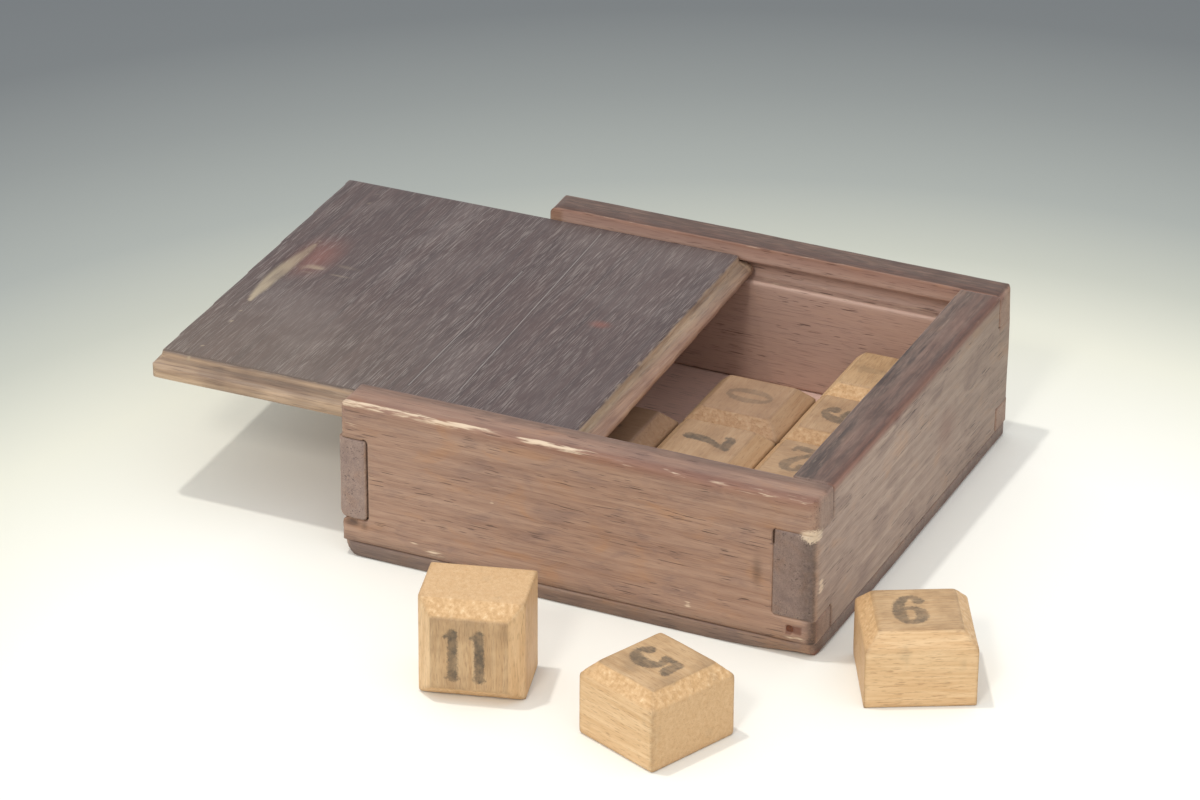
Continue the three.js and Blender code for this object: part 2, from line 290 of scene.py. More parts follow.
def stained_walnut(name, tones, end_tone, stain, inner_tone):
    """Open-pored hardwood, planed, stained and rubbed by hand for a century: short dark pores along the
    grain, grey-purple and orange clouds in the stain, and pale bare wood where the arrises have worn."""
    material, tree = fresh_material(name)
    grain = add(tree, "Attribute", {"attribute_name": "grain"}, [], "Vector")
    at = {}
    for value in ("cut_end", "inner", "red", "grime", "wear"):
        at[value] = add(tree, "Attribute", {"attribute_name": value}, [], "Fac")
    # Growth streaks, about 45 mm long and 1.6 mm wide, close together in tone.
    streaks = stretched(tree, grain, 45, 1.6, 3, 0.3)
    ring = add(tree, "ValToRGB", {"stops": zip((0.3, 0.5, 0.72), tones)}, [streaks])
    # Stain lies in clouds about 14 mm long: greyer in some, more orange in others.
    clouds = stretched(tree, grain, 14, 7, 4, 0.6, 17)
    grey = add(tree, "MapRange", SMOOTH, [clouds, 0.5, 0.72, 0, 0.42])
    orange = add(tree, "MapRange", SMOOTH, [clouds, 0.48, 0.3, 0, 0.3])
    # The ends of the boards show their cut fibres, darker and greyer than the faces.
    fibre_ends = add(tree, "Math", TIMES, [at["cut_end"], 0.45])
    # Inside, the wood was never stained and stays a plain orange brown; the bottom board's inside tone
    # is painted paler still, as painted light that lifts the shade on the tray's floor.
    unstained = add(tree, "Math", TIMES, [at["inner"], 0.8])
    # Fibres 6 mm long and 0.28 mm wide; real ones are finer, and this is the finest that shows.
    fibres = stretched(tree, grain, 6, 0.28, 2, 0, 3)
    dark_fibres = add(tree, "MapRange", SMOOTH, [fibres, 0.5, 0.72, 0, 0.26])
    light_fibres = add(tree, "MapRange", SMOOTH, [fibres, 0.44, 0.28, 0, 0.18])
    # Pores: 6 mm long, 0.38 mm wide, gathered in bands.
    dashes = stretched(tree, grain, 6, 0.38, 1, 0, 7)
    bands = stretched(tree, grain, 30, 4, 2, 0, 11)
    pore = add(tree, "MapRange", SMOOTH, [dashes, 0.62, 0.7])
    gathered = add(tree, "MapRange", SMOOTH, [bands, 0.42, 0.62, 0.1, 1])
    pored = add(tree, "Math", TIMES, [pore, gathered])
    pore_stain = add(tree, "Math", TIMES, [pored, 0.7])
    # Red-brown finish is left beside the worn places.
    old_finish = add(tree, "Math", TIMES, [at["red"], 0.8])
    # Grime, and the painted shade on the fixed end's outer face, is patchy along the grain.
    breakup = stretched(tree, grain, 6, 0.6, 3, 0.3, 13)
    patchy = add(tree, "MapRange", SMOOTH, [breakup, 0.3, 0.6, 0.7, 1])
    grime = add(tree, "Math", TIMES, [at["grime"], patchy])
    # Bare wood on the worn arrises, broken up along the grain.
    rubbed = stretched(tree, grain, 5, 0.45, 3, 0.4, 5)
    ragged = add(tree, "MapRange", SMOOTH, [rubbed, 0.3, 0.7, -0.5, 0.15])
    worn = add(tree, "Math", PLUS, [at["wear"], ragged])
    worn_through = add(tree, "MapRange", SMOOTH, [worn, 0.15, 0.75])
    bare = add(tree, "Math", TIMES, [worn_through, 0.8])
    layers = [
        (grey, "76625e"),
        (orange, "b5804f"),
        (fibre_ends, end_tone),
        (unstained, inner_tone),
        (dark_fibres, stain),
        (light_fibres, "d3b394"),
        (pore_stain, stain),
        (old_finish, "7c4a38"),
        (grime, "30241f"),
        (bare, "e3cdb0"),
    ]
    colour = ring
    for share, code in layers:
        colour = add(tree, "Mix", COLOURS, [share, colour, tone(code)])
    raised = add(tree, "Math", TIMES, [fibres, 0.35])
    height = add(tree, "Math", LESS, [raised, pored])
    roughness = add(tree, "MapRange", SMOOTH, [clouds, 0.3, 0.75, 0.46, 0.62])
    finish(tree, colour, roughness, height, 0.07, 0.45)
    return material


def weathered_lid_wood(name):
    """The same open-pored hardwood, left dry on top and gone grey-brown: its pores are packed with
    pale dust, so they show as fine light dashes; the bevel and edges are rubbed back to tan."""
    material, tree = fresh_material(name)
    grain = add(tree, "Attribute", {"attribute_name": "grain"}, [], "Vector")
    at = {}
    for value in ("bare", "red", "pale", "score", "grime", "wear"):
        at[value] = add(tree, "Attribute", {"attribute_name": value}, [], "Fac")
    # Growth streaks 60 mm long and 1.8 mm wide.
    streaks = stretched(tree, grain, 60, 1.8, 3, 0.2)
    ring = add(tree, "ValToRGB", {"stops": [(0.3, "433432"), (0.7, "574744")]}, [streaks])
    # The edges keep the brown of the wood under the grey, in streaks 30 mm long and 1.2 mm wide.
    edge_wood = stretched(tree, grain, 30, 1.2, 3, 0.2, 9)
    brown = add(tree, "ValToRGB", {"stops": [(0.32, "9b8068"), (0.66, "c9ac8e")]}, [edge_wood])
    colour = add(tree, "Mix", COLOURS, [at["bare"], ring, brown])
    # Clouds about 30 mm across: redder where the finish lasts, greyer where it has gone.
    clouds = stretched(tree, grain, 34, 26, 3, 0.4, 17)
    redder = add(tree, "MapRange", SMOOTH, [clouds, 0.48, 0.32, 0, 0.4])
    greyer = add(tree, "MapRange", SMOOTH, [clouds, 0.52, 0.72, 0, 0.35])
    # Pale dust in the pores: dashes 6 mm long and 0.2 mm wide, the finest that shows.
    dashes = stretched(tree, grain, 6, 0.2, 1, 0, 7)
    bands = stretched(tree, grain, 40, 6, 2, 0, 11)
    pore = add(tree, "MapRange", SMOOTH, [dashes, 0.5, 0.68])
    gathered = add(tree, "MapRange", SMOOTH, [bands, 0.35, 0.62, 0.4, 1])
    packed = add(tree, "Math", TIMES, [pore, gathered])
    dust = add(tree, "Math", TIMES, [packed, 0.33])
    # Fibres 6 mm long and 0.28 mm wide.
    fibres = stretched(tree, grain, 6, 0.28, 2, 0, 3)
    dark_fibres = add(tree, "MapRange", SMOOTH, [fibres, 0.5, 0.72, 0, 0.35])
    red = add(tree, "Math", TIMES, [at["red"], 0.6])
    pale = add(tree, "Math", TIMES, [at["pale"], 0.75])
    # A knife has scored the panel: kept at the vertices as the distance to each line, in mm. Each line
    # has a pale raised lip and a shaded side 0.3 mm from it.
    off_line = add(tree, "Math", UNSIGNED, [at["score"]])
    scored = add(tree, "MapRange", SMOOTH, [off_line, 0.25, 0.08])
    lip = add(tree, "Math", TIMES, [scored, 0.45])
    beyond_lip = add(tree, "Math", LESS, [off_line, 0.3])
    off_shade = add(tree, "Math", UNSIGNED, [beyond_lip])
    shaded = add(tree, "MapRange", SMOOTH, [off_shade, 0.22, 0.05])
    shade = add(tree, "Math", TIMES, [shaded, 0.3])
    # Grime, with painted shade in the lid's inside corners.
    grime = add(tree, "Math", TIMES, [at["grime"], 0.9])
    # The arrises are rubbed, raggedly along the grain.
    rubbed = stretched(tree, grain, 4, 1, 3, 0.5, 5)
    ragged = add(tree, "MapRange", SMOOTH, [rubbed, 0.3, 0.7, -0.4, 0.1])
    worn = add(tree, "Math", PLUS, [at["wear"], ragged])
    worn_through = add(tree, "MapRange", SMOOTH, [worn, 0.3, 0.8])
    bare_wood = add(tree, "Math", TIMES, [worn_through, 0.6])
    layers = [
        (redder, "54403c"),
        (greyer, "716561"),
        (dust, "b3a79e"),
        (dark_fibres, "2e2422"),
        (red, "8a5244"),
        (pale, "b5a488"),
        (lip, "a39a93"),
        (shade, "2a2021"),
        (grime, "1a1214"),
        (bare_wood, "b9a184"),
    ]
    for share, code in layers:
        colour = add(tree, "Mix", COLOURS, [share, colour, tone(code)])
    raised = add(tree, "Math", TIMES, [fibres, 0.5])
    open_pores = add(tree, "Math", TIMES, [packed, 0.4])
    surface = add(tree, "Math", LESS, [raised, open_pores])
    height = add(tree, "Math", LESS, [surface, scored])
    roughness = add(tree, "MapRange", SMOOTH, [streaks, 0.3, 0.7, 0.5, 0.62])
    finish(tree, colour, roughness, height, 0.1, 0.4)
    return material


def sanded_beech(name):
    """Sawn and sanded beech gone golden with handling: close grain, torn pits on the end-grain bevels,
    dark dirt along the arrises, painted shade on the blocks in the tray, and a bold black number stamped
    in ink that has worn thin."""
    material, tree = fresh_material(name)
    grain = add(tree, "Attribute", {"attribute_name": "grain"}, [], "Vector")
    at = {}
    for value in ("bevel", "cut_end", "face", "dirt", "grime", "ink", "print"):
        at[value] = add(tree, "Attribute", {"attribute_name": value}, [], "Fac")
    # Growth rings about 1.1 mm apart that wander gently along the grain.
    streaks = stretched(tree, grain, 16, 1.1, 4, 0.5)
    ring = add(tree, "ValToRGB", {"stops": [(0.3, "cda677"), (0.72, "e2c195")]}, [streaks])
    # Short flecks of the close pores, 2.5 mm long.
    flecks = stretched(tree, grain, 2.5, 0.25, 2, 0, 3)
    pores = add(tree, "MapRange", SMOOTH, [flecks, 0.52, 0.72, 0, 0.5])
    fibre_ends = add(tree, "Math", TIMES, [at["cut_end"], 0.4])
    # Bevels cut across the grain are torn: soft golden pits 1.1 mm across.
    pits = add(tree, "TexNoise", {}, {"Vector": grain, "Scale": 1 / 1.1, "Detail": 3.0, "Roughness": 0.6})
    sawn = add(tree, "Math", TIMES, [at["bevel"], at["cut_end"]])
    pit = add(tree, "MapRange", SMOOTH, [pits, 0.42, 0.7])
    torn = add(tree, "Math", TIMES, [sawn, pit])
    sawn_share = add(tree, "Math", TIMES, [sawn, 0.5])
    torn_share = add(tree, "Math", TIMES, [torn, 0.45])
    rise = add(tree, "MapRange", SMOOTH, [pits, 0.45, 0.25, 0, 0.6])
    crests = add(tree, "Math", TIMES, [sawn, rise])
    # The number's face is browner from handling, in patches 7 mm across.
    patches = add(tree, "TexNoise", {}, {"Vector": grain, "Scale": 1 / 7, "Detail": 4.0})
    touched = add(tree, "MapRange", SMOOTH, [patches, 0.35, 0.7, 0.3, 0.6])
    handled = add(tree, "Math", TIMES, [at["face"], touched])
    filled = add(tree, "Math", TIMES, [handled, flecks])
    filled_pores = add(tree, "Math", TIMES, [filled, 0.8])
    faded = add(tree, "MapRange", SMOOTH, [patches, 0.58, 0.8, 0, 0.3])
    # Handling has dirtied some blocks more than others, and the arrises most; the same value darkens the
    # blocks in the tray with painted shade.
    dirt = add(tree, "Math", TIMES, [at["dirt"], 0.75])
    caught = add(tree, "MapRange", SMOOTH, [pits, 0.3, 0.6, 0.3, 0.7])
    grime = add(tree, "Math", TIMES, [at["grime"], caught])
    # Ink: kept at the vertices as the distance to the number's outline, in mm. Its rim is ragged at
    # 0.6 mm, the grain's own roughness, and it has worn thin in patches 2.5 mm across.
    bleed = add(tree, "TexNoise", {}, {"Vector": grain, "Scale": 1 / 0.6, "Detail": 3.0, "Roughness": 0.7})
    rim = add(tree, "MapRange", SMOOTH, [bleed, 0.25, 0.75, -0.28, 0.3])
    outline = add(tree, "Math", PLUS, [at["ink"], rim])
    inked = add(tree, "MapRange", SMOOTH, [outline, 0.4, -0.35])
    rubbed = add(tree, "TexNoise", {}, {"Vector": grain, "Scale": 1 / 2.5, "Detail": 4.0, "Roughness": 0.7})
    thin = add(tree, "MapRange", SMOOTH, [rubbed, 0.3, 0.65, 0.85, 0.5])
    strength = add(tree, "Math", TIMES, [thin, at["print"]])
    ink = add(tree, "Math", TIMES, [inked, strength])
    layers = [
        (pores, "8f6742"),
        (fibre_ends, "bb9467"),
        (sawn_share, "dfb684"),
        (torn_share, "b08653"),
        (crests, "ead0a6"),
        (handled, "a2835f"),
        (filled_pores, "6b4c33"),
        (faded, "8d7a62"),
        (dirt, "80604f"),
        (grime, "4a3524"),
        (ink, "3d3a34"),
    ]
    colour = ring
    for share, code in layers:
        colour = add(tree, "Mix", COLOURS, [share, colour, tone(code)])
    long_grain = add(tree, "Math", LESS, [1.0, at["cut_end"]])
    shallow = add(tree, "Math", TIMES, [long_grain, 0.35])
    fine = add(tree, "Math", TIMES, [flecks, shallow])
    height = add(tree, "Math", LESS, [fine, torn])
    roughness = add(tree, "MapRange", SMOOTH, [patches, 0.3, 0.75, 0.5, 0.64])
    finish(tree, colour, roughness, height, 0.12, 0.4)
    return material


def rusty_iron(name):
    """Old cut nails: forged iron gone dark with a skin of brown rust in spots half a millimetre wide."""
    material, tree = fresh_material(name)
    place = add(tree, "TexCoord", {}, {}, "Object")
    spots = {"Vector": place, "Scale": 1 / (0.5 * MM), "Detail": 4.0, "Roughness": 0.7}
    rust = add(tree, "TexNoise", {}, spots)
    share = add(tree, "MapRange", SMOOTH, [rust, 0.3, 0.55])
    colour = add(tree, "Mix", COLOURS, [share, tone("3a2e29"), tone("7a4a34")])
    bump = add(tree, "Bump", {}, {"Strength": 1.0, "Distance": 0.06 * MM, "Height": rust})
    roughness = add(tree, "MapRange", SMOOTH, [rust, 0.3, 0.7, 0.5, 0.85])
    look = {"Base Color": colour, "Metallic": 0.45, "Roughness": roughness, "Normal": bump}
    shader = add(tree, "BsdfPrincipled", {}, look)
    add(tree, "OutputMaterial", {}, {"Surface": shader})
    return material


# The paper's painted shade: its tone at each share of the way from the middle of the light to 0.6 m away.
PAPER_SHADE_STOPS = [
    (0.25, "f5f4ec"),
    (0.36, "dbdacb"),
    (0.43, "b8baaf"),
    (0.5, "9da19c"),
    (0.6, "868a88"),
    (0.7, "707475"),
    (0.95, "62666a"),
]


def sweep_paper(name):
    """Pale matt paper under the object, with a painted pool of light: its colour greys, as painted
    shade, away from the middle of the light.
    """
    material, tree = fresh_material(name)
    place = add(tree, "TexCoord", {}, {}, "Object")
    # Painted light: the paper's colour greys with distance from the middle of the lamp's pool.
    pool = add(tree, "VectorMath", {"operation": "DISTANCE"}, [place, (0.06, -0.1, 0)])
    share = add(tree, "MapRange", {"interpolation_type": "LINEAR"}, [pool, 0.0, 0.6])
    painted_floor_shade = add(tree, "ValToRGB", {"stops": PAPER_SHADE_STOPS}, [share])
    # Paper fibres 0.8 mm across; real ones are finer, and this is the finest that shows.
    fibre = add(tree, "TexNoise", {}, {"Vector": place, "Scale": 1 / (0.8 * MM), "Detail": 2.0})
    bump = add(tree, "Bump", {}, {"Strength": 0.2, "Distance": 0.05 * MM, "Height": fibre})
    look = {"Base Color": painted_floor_shade, "Roughness": 0.9, "Normal": bump, "Specular IOR Level": 0.1}
    shader = add(tree, "BsdfPrincipled", {}, look)
    add(tree, "OutputMaterial", {}, {"Surface": shader})
    return material


# ---------------------------------------------------------------------------------------------------
# Numbers
# ---------------------------------------------------------------------------------------------------

# Each figure is drawn 12.6 mm tall with a broad pen: strokes of (x, y, half width) in mm, thick on the
# down strokes and thin on the turns, with ball ends, as on a set of wood-type stamps.


def oval(middle_y, wide, tall, thick, thin):
    """A closed ring drawn with the broad pen."""
    turns = np.linspace(0, 2 * math.pi, 25)
    half = thin + (thick - thin) * np.abs(np.cos(turns)) ** 1.5
    return [(wide * math.cos(t), middle_y + tall * math.sin(t), h) for t, h in zip(turns, half)]


FIGURES = {
    "0": [oval(0, 2.5, 5.5, 1.15, 0.5)],
    "1": [
        [(0.4, -6.0, 1.05), (0.4, 5.6, 1.05)],
        [(-1.9, 4.7, 0.35), (-0.7, 5.1, 0.6), (0.2, 5.7, 0.6)],
        [(-1.3, -6.1, 0.28), (2.1, -6.1, 0.28)],
    ],
    "2": [
        [(-2.0, 3.8, 1.1), (-1.9, 4.6, 0.7), (-1.2, 5.6, 0.5), (0.4, 5.9, 0.6), (1.8, 5.0, 1.0)]
        + [(2.2, 3.4, 1.25), (1.6, 1.6, 1.05), (0.2, -0.4, 0.7), (-1.6, -2.6, 0.5)]
        + [(-2.6, -4.6, 0.5), (-2.8, -5.8, 0.45)],
        [(-2.7, -5.5, 0.6), (-1.0, -4.8, 0.9), (1.0, -5.4, 1.0), (2.4, -5.2, 0.7), (2.9, -3.8, 0.35)],
    ],
    "3": [
        [(-2.0, 4.0, 1.05), (-1.8, 4.9, 0.6), (-0.8, 5.8, 0.5), (0.8, 5.6, 0.7), (2.0, 4.2, 1.1)]
        + [(1.9, 2.6, 1.0), (0.9, 1.2, 0.55), (-0.5, 0.6, 0.4)],
        [(-0.5, 0.6, 0.4), (1.2, 0.2, 0.6), (2.4, -1.2, 1.0), (2.6, -3.0, 1.25), (1.7, -5.0, 0.9)]
        + [(0.0, -5.9, 0.5), (-1.6, -5.4, 0.5), (-2.1, -4.3, 1.1)],
    ],
    "4": [
        [(1.1, -6.0, 1.1), (1.1, 5.9, 1.0)],
        [(0.9, 5.9, 0.45), (-3.0, -2.2, 0.4)],
        [(-3.2, -2.7, 0.6), (3.0, -2.7, 0.6)],
        [(-0.6, -6.1, 0.3), (2.8, -6.1, 0.3)],
    ],
    "5": [
        [(-2.3, 5.5, 0.6), (-0.4, 5.2, 0.95), (1.4, 5.3, 1.0), (2.6, 5.9, 0.5)],
        [(-2.3, 5.6, 0.45), (-2.5, 0.9, 0.4)],
        [(-2.5, 0.9, 0.4), (-1.0, 1.9, 0.5), (0.7, 1.9, 0.75), (2.2, 0.6, 1.1), (2.6, -1.6, 1.3)]
        + [(2.0, -4.2, 1.05), (0.4, -5.8, 0.55), (-1.3, -5.6, 0.5), (-2.2, -4.4, 1.1)],
    ],
    "6": [
        [(2.1, 3.9, 1.15), (1.9, 4.9, 0.6), (0.7, 5.8, 0.5), (-0.9, 5.2, 0.75), (-2.2, 3.2, 1.1)]
        + [(-2.7, 0.4, 1.25), (-2.5, -3.0, 1.2), (-1.4, -5.2, 0.8), (0.1, -5.9, 0.5)]
        + [(1.6, -5.2, 0.85), (2.5, -3.2, 1.25), (2.3, -1.0, 1.15), (1.1, 0.5, 0.65)]
        + [(-0.6, 0.6, 0.45), (-2.0, -0.4, 0.4)],
    ],
    "7": [
        [(-2.9, 3.7, 0.35), (-2.7, 5.1, 0.6), (-1.0, 5.0, 1.0), (1.0, 4.9, 1.0), (2.8, 5.6, 0.5)],
        [(2.8, 5.5, 0.5), (1.6, 2.9, 0.6), (0.2, 0.2, 0.85), (-0.5, -2.6, 1.15), (-0.6, -5.4, 1.25)],
    ],
    "8": [oval(3.1, 1.8, 2.7, 1.0, 0.5), oval(-2.7, 2.3, 3.2, 1.15, 0.5)],
}
FIGURES["9"] = [[(-x, -y, half) for x, y, half in stroke] for stroke in FIGURES["6"]]


def smooth_stroke(stroke):
    """The stroke's points on a smooth curve through them."""
    points = np.array(stroke, float)
    if len(points) < 3:
        return points
    closed = np.allclose(points[0, :2], points[-1, :2])
    before = points[-2] if closed else 2 * points[0] - points[1]
    after = points[1] if closed else 2 * points[-1] - points[-2]
    run = np.vstack([before, points, after])
    made = []
    for i in range(1, len(run) - 2):
        for t in np.linspace(0, 1, 5)[:-1]:
            a, b, c, d = run[i - 1 : i + 3]
            bend = (2 * a - 5 * b + 4 * c - d) * t**2 + (3 * b - a - 3 * c + d) * t**3
            made.append(0.5 * (2 * b + (c - a) * t + bend))
    made.append(points[-1])
    return np.array(made)


# How far the ink has spread into the wood round each stroke, in mm; most blocks the same.
USUAL_SPREAD = 0.25
SPREAD = {"5": 0.5, "0": 0.05, "11": 0.08, "7": 0.3, "9": 0.4}
# The 1 of the 10 has been rubbed away.
STILL_PRINTED = {10: "0"}


def number_distance(points, text, middle):
    """The distance in mm from each point of the face to the number's outline, below 0 inside it."""
    nearest = np.full(len(points), 9.0)
    pitch = 6.2
    start = middle[0] - pitch * (len(text) - 1) / 2
    narrow = 0.82 if len(text) > 1 else 1.0
    spread = SPREAD.get(text, USUAL_SPREAD)
    for place, figure in enumerate(text):
        for stroke in FIGURES[figure]:
            line = smooth_stroke(stroke)
            line[:, 0] = line[:, 0] * narrow + start + pitch * place
            line[:, 1] += middle[1]
            for one, two in zip(line[:-1], line[1:]):
                way = two[:2] - one[:2]
                share = np.clip(((points - one[:2]) @ way) / max(way @ way, 1e-9), 0, 1)
                foot = one[:2] + share[:, None] * way
                half = one[2] + share * (two[2] - one[2]) + spread
                away = np.linalg.norm(points - foot, axis=1) - half
                nearest = np.minimum(nearest, away)
    return nearest


# ---------------------------------------------------------------------------------------------------
# The pieces
# ---------------------------------------------------------------------------------------------------

# Each walnut: its growth streaks from dark to light, its cut ends, its stain and its bare inside; the
# bottom board's inside tone is painted paler, as painted light that lifts the shade on the tray's floor.
wall_wood = stained_walnut(
    "planed stained walnut, walls", ("95735f", "a2816c", "ae8e78"), "846e62", "3f2a24", "c2a394"
)
end_wood = stained_walnut(
    "planed stained walnut, end walls", ("957d6d", "a48b7b", "b29a88"), "7b6966", "44332f", "b89c8e"
)
board_wood = stained_walnut(
    "sawn walnut, bottom board", ("8b6d5a", "987a66", "a68a76"), "6b615f", "33292a", "e8c6b8"
)
lid_wood = weathered_lid_wood("weathered walnut, lid")
block_wood = sanded_beech("sanded beech, number blocks")
nail_iron = rusty_iron("rusted iron, cut nails")



def face_of(node, axis, side):
    """A wall's outermost face on one side, as (axis, place in mm, side the face looks to)."""
    low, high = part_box(node)
    place = high[axis] if side > 0 else low[axis]
    return axis, round(place / MM, 2), side


OUT_FRONT = face_of("front_wall", 1, -1)
OUT_BACK = face_of("back_wall", 1, 1)
OUT_RIGHT = face_of("fixed_end_wall", 0, 1)
OUT_LEFT = face_of("open_end_wall", 0, -1)
IN_FRONT = face_of("front_wall", 1, 1)
IN_BACK = face_of("back_wall", 1, -1)
IN_RIGHT = face_of("fixed_end_wall", 0, -1)
IN_LEFT = face_of("open_end_wall", 0, 1)
TOP = face_of("front_wall", 2, 1)
FOOT = face_of("bottom_board", 2, -1)
BOARD_TOP = face_of("bottom_board", 2, 1)
# The floor of the lid's groove, which the open end wall reaches up to.
OPEN_TOP = (2, 32.3, 1)
SIDE_X = OUT_RIGHT[1]
SIDE_Y = OUT_BACK[1]
TOP_Z = TOP[1]
# The front wall's corner nail, and how far the joints' faces swell to close their gaps, in mm.
NAIL_X = 57
NAIL_Z = 7.3
JOINT_SQUEEZE = 0.26
GRAIN_AXIS = {"x": 0, "y": 1, "z": 2}


def tighten(wall):
    """Drives the joints home: the faces inside a corner or against the bottom board swell a little."""
    co = wall.co
    corner = (co[:, 0] > IN_RIGHT[1] + 0.6) | (co[:, 0] < IN_LEFT[1] - 0.6)
    corner &= (co[:, 1] < IN_FRONT[1] - 0.6) | (co[:, 1] > IN_BACK[1] + 0.6)
    corner |= (np.abs(co[:, 0] - IN_RIGHT[1]) < 0.6) & (co[:, 1] < IN_FRONT[1] - 0.6) & (co[:, 2] < 29)
    against_board = np.abs(co[:, 2] - BOARD_TOP[1] - 0.15) < 0.5
    inside = np.full(len(co), 9.0)
    for face in (OUT_FRONT, OUT_BACK, OUT_RIGHT, OUT_LEFT, TOP, FOOT):
        inside = np.minimum(inside, depth_below(co, face))
    wall.sink(-JOINT_SQUEEZE * (corner | against_board) * ramp(inside, -0.1, 0.3))
    wall.refresh()


def in_tray(points):
    """1 inside the tray below the lid groove's lip, 0 on the outside of the box."""
    across = np.minimum(depth_below(points, OUT_FRONT), depth_below(points, OUT_BACK))
    along = np.minimum(depth_below(points, OUT_RIGHT), depth_below(points, OUT_LEFT))
    return ramp(np.minimum(across, along), 3.6, 4.4) * (1 - ramp(points[:, 2], TOP_Z - 1.2, TOP_Z - 0.6))


def finish_wall(wall, name, slot, material, along, offset, seed, arrises, weathering):
    """Fits, wears, dirties and delivers one wall. arrises are (face, face, radius in mm), and the
    weathering function adds the wall's own wear and dirt, and on the fixed end painted shade, to its
    painted values."""
    tighten(wall)
    in_corner = (np.abs(wall.co[:, 0]) > 50.5) & (np.abs(wall.co[:, 1]) > 52.5)
    wall.ease(1, np.where(in_corner | (wall.co[:, 2] < 5.5), 0.0, 1.0))
    wall.ease(3, in_tray(wall.co))
    for first, second, radius in arrises:
        reach = radius(wall.co) if callable(radius) else radius
        wall.round_over(first, second, reach * (1 + 0.4 * noise(wall.co, 13, seed)))
    wall.refresh()
    wall.sink(0.06 + 0.06 * noise(wall.co, (30, 18, 18), seed + 1))
    wall.sink(0.03 * np.clip(noise(wall.co, 1.6, seed + 2), 0, 1))
    wall.refresh()
    none = np.zeros(len(wall.co))
    across = np.abs(wall.normal[:, GRAIN_AXIS[along]])
    values = {"wear": none.copy(), "grime": none.copy(), "red": none.copy()}
    values["cut_end"] = ramp(across, 0.6, 0.85)
    values["inner"] = in_tray(wall.co)
    weathering(wall, values)
    for key, value in values.items():
        wall.paint(key, np.clip(value, 0, 1))
    wall.paint("grain", grain_coordinates(wall.co, along, offset))
    wall.co = np.clip(wall.co, (-SIDE_X, -SIDE_Y, 0), (SIDE_X, SIDE_Y, wall.high[2]))
    wall.deliver(name, "box", slot, material, slack=0.3)


def wear_line(co, first, second, width, strength):
    """Bare wood along one arris, width mm wide."""
    return strength * (1 - ramp(from_arris(co, first, second), width * 0.4, width))


def on_top(wall, level):
    """1 on the upward face within a few mm of a level."""
    return ramp(wall.normal[:, 2], 0.6, 0.9) * ramp(wall.co[:, 2], level - 2.5, level - 1)


def in_nail_slot(co, half_width, half_height):
    """True within the slot that the front wall's corner nail was driven into."""
    return (np.abs(co[:, 0] - NAIL_X) < half_width) & (np.abs(co[:, 2] - NAIL_Z) < half_height)


def wear_front(wall, values):
    """The side seen most: a long scratched arris, chips, and dirt round the joints."""
    co = wall.co
    x = co[:, 0]
    outward = ramp(-wall.normal[:, 1], 0.2, 0.6)
    pale = 1 - 0.6 * ramp(x, -15, 15)
    scratched = 0.5 + 0.8 * noise(co, (6, 0.8, 0.8), 51) + 0.5 * noise(co, (18, 2, 2), 52)
    values["wear"] += wear_line(co, OUT_FRONT, TOP, 1.9, 1.1 * pale * np.clip(scratched, 0, 1))
    values["red"] += wear_line(co, OUT_FRONT, TOP, 3.4, 0.3 + 0.25 * ramp(x, -30, 20))
    values["wear"] += wear_line(co, IN_FRONT, TOP, 0.7, 0.25)
    depth = depth_below(co, IN_FRONT)
    values["grime"] += on_top(wall, TOP_Z) * (0.2 + 0.35 * (1 - ramp(depth, 2, 5)))
    values["red"] += on_top(wall, TOP_Z) * 0.25
    for centre, radius, strength in CHIPS:
        values["wear"] += strength * spot(co, centre, radius)
    values["grime"] += 0.3 * (1 - ramp(co[:, 2], 4.5, 7.5)) * outward
    # Dirt has run in beside the corner post, round the nail and in the broken corner of the low finger.
    values["grime"] += 0.6 * ramp(x, 59.6, 61.4) * (1 - ramp(co[:, 2], 30, 36)) * outward
    nail_slot = in_nail_slot(co, 2.1, 1.0)
    values["grime"] += 0.25 * nail_slot * outward
    values["red"] += 0.9 * nail_slot * outward
    values["grime"] += 0.9 * spot(co, (-58.6, -64, 9.3), (3.4, 3, 1.5))
    values["grime"] += 0.5 * spot(co, (-55.2, -64, 9.2), (1.4, 3, 2.2))
    values["grime"] += 0.45 * spot(co, (47.5, -64, 21), (2.0, 3, 7))


def wear_back(wall, values):
    """Dark on top, rubbed along the inner arris and on the groove's floor."""
    co = wall.co
    values["grime"] += 0.8 * on_top(wall, TOP_Z)
    values["red"] += 0.4 * on_top(wall, TOP_Z)
    values["wear"] += wear_line(co, IN_BACK, TOP, 0.6, 0.45)
    values["red"] += wear_line(co, IN_BACK, TOP, 4.0, 0.45)
    values["wear"] += 0.3 * ramp(wall.normal[:, 2], 0.5, 0.8) * (1 - ramp(co[:, 2], 34, 35))


